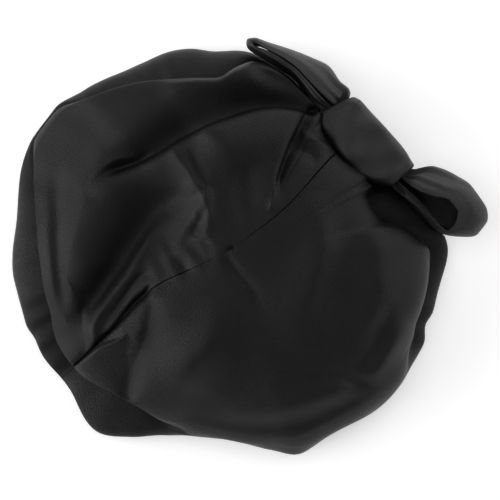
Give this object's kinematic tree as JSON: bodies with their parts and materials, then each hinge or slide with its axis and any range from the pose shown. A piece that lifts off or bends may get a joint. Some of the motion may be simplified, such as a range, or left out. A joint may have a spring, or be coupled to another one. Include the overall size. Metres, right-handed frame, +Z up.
{
  "type": "satin sleep bonnet",
  "caption": "Puffed satin sleep bonnet lying mouth down: a crown of panels with a middle seam, a gathered elastic rim band, and a bow with a wide wrap on the front.",
  "frame": {"origin": "middle of the footprint, on the surface that the bonnet lies on", "axes": "+Z up, away from the surface; -Y the bonnet's front, where the bow is; +X the wearer's left"},
  "size_m": [0.3089, 0.3104, 0.0787],
  "materials": {
    "crown_satin": "black satin, soft sheen along the folds",
    "band_satin": "black satin casing gathered over elastic",
    "bow_satin": "black satin, sewn double and pressed"
  },
  "bodies": {
    "root": {"crown_left": "crown_satin", "crown_right": "crown_satin", "rim_band": "band_satin", "bow_loop_left": "bow_satin", "bow_loop_right": "bow_satin", "bow_wrap": "bow_satin"}
  },
  "joints": []
}
